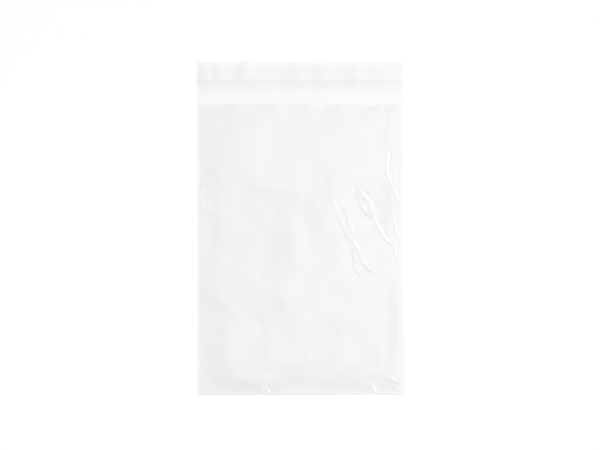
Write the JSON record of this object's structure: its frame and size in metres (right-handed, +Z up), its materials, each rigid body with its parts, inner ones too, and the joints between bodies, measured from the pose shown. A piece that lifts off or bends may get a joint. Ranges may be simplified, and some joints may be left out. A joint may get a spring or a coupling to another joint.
{
  "type": "self-seal plastic bag",
  "caption": "Flat clear film bag with welded sides, a folded bottom and an open mouth; its back panel runs on as a lip with an adhesive strip under a peel-off liner.",
  "frame": {"origin": "under the middle of the bag, on the surface that it lies on", "axes": "+Y from the bottom fold to the lip, +X to the right seen from the front, +Z up out of the front panel"},
  "size_m": [0.127, 0.2032, 0.0027],
  "materials": {
    "clear_film": "clear, colourless, glossy polypropylene film",
    "adhesive": "clear, slightly hazy pressure-sensitive adhesive",
    "liner": "clear release film with a faint haze"
  },
  "bodies": {
    "root": {"bag_film": "clear_film", "adhesive_strip": "adhesive", "release_liner": "liner"}
  },
  "joints": []
}
